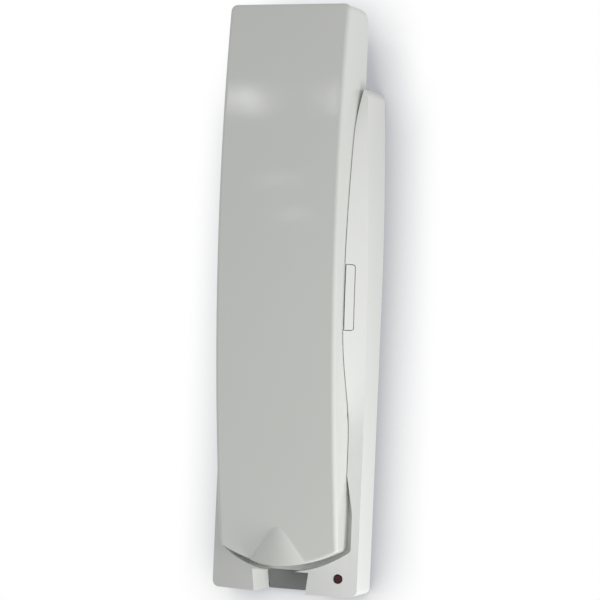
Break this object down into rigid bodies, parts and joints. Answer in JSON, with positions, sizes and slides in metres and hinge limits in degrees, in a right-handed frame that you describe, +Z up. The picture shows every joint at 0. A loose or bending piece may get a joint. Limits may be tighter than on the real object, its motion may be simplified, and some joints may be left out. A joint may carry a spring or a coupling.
{
  "type": "audio intercom handset",
  "caption": "Slim arched intercom handset hanging in a wall base with cheeks, a side door key, a chin lamp and a cord notch.",
  "frame": {"origin": "centre of the wall plate's back face, where the base meets the wall", "axes": "+Y into the wall, +Z up along the handset, +X to the right seen from the front"},
  "size_m": [0.0572, 0.0354, 0.214],
  "materials": {
    "white_plastic": "glossy",
    "dark_plastic": "satin",
    "board": "satin",
    "steel": "satin",
    "terminal_green": "satin",
    "lamp_red": "glossy",
    "natural_nylon": "satin",
    "contact_gold": "polished",
    "capacitor_sleeve": "glossy",
    "chip_black": "matte",
    "foam": "matte",
    "aluminium_can": "satin",
    "boot_rubber": "matte"
  },
  "bodies": {
    "base": {"wall_plate": "dark_plastic", "base_cover": "white_plastic", "base_board": "board", "board_screws": "steel", "terminal_block": "terminal_green", "terminal_screws": "steel", "hook_switch": "dark_plastic", "hook_spring": "steel", "key_switch": "dark_plastic", "led": "lamp_red", "led_spacer": "natural_nylon", "base_jack": "dark_plastic", "base_jack_contacts": "contact_gold", "smoothing_capacitor": "capacitor_sleeve", "amplifier_chip": "chip_black", "cover_screw": "steel"},
    "handset": {"handset_front": "white_plastic", "handset_rear": "white_plastic", "earpiece": "steel", "earpiece_gasket": "foam", "earpiece_clamp": "natural_nylon", "microphone": "aluminium_can", "microphone_boot": "boot_rubber", "handset_board": "board", "handset_jack": "dark_plastic", "handset_jack_contacts": "contact_gold", "ballast_weight": "steel", "handset_screws": "steel"},
    "plunger": {"hook_plunger": "white_plastic"},
    "key": {"door_key": "white_plastic"}
  },
  "joints": [
    {"name": "handset_lift", "type": "slide", "parent": "base", "child": "handset", "axis": [0, -1, 0], "range_m": [0, 0.06]},
    {"name": "hook_travel", "type": "slide", "parent": "base", "child": "plunger", "axis": [0, -1, 0], "range_m": [0, 0.003], "deforming": ["hook_spring"]},
    {"name": "door_key_press", "type": "slide", "parent": "base", "child": "key", "axis": [0, 1, 0], "range_m": [0, 0.001], "stiffness_N_per_m": 400}
  ],
  "couplings": [
    {"joint": "hook_travel", "follows": "handset_lift", "ratio": 0.05}
  ]
}
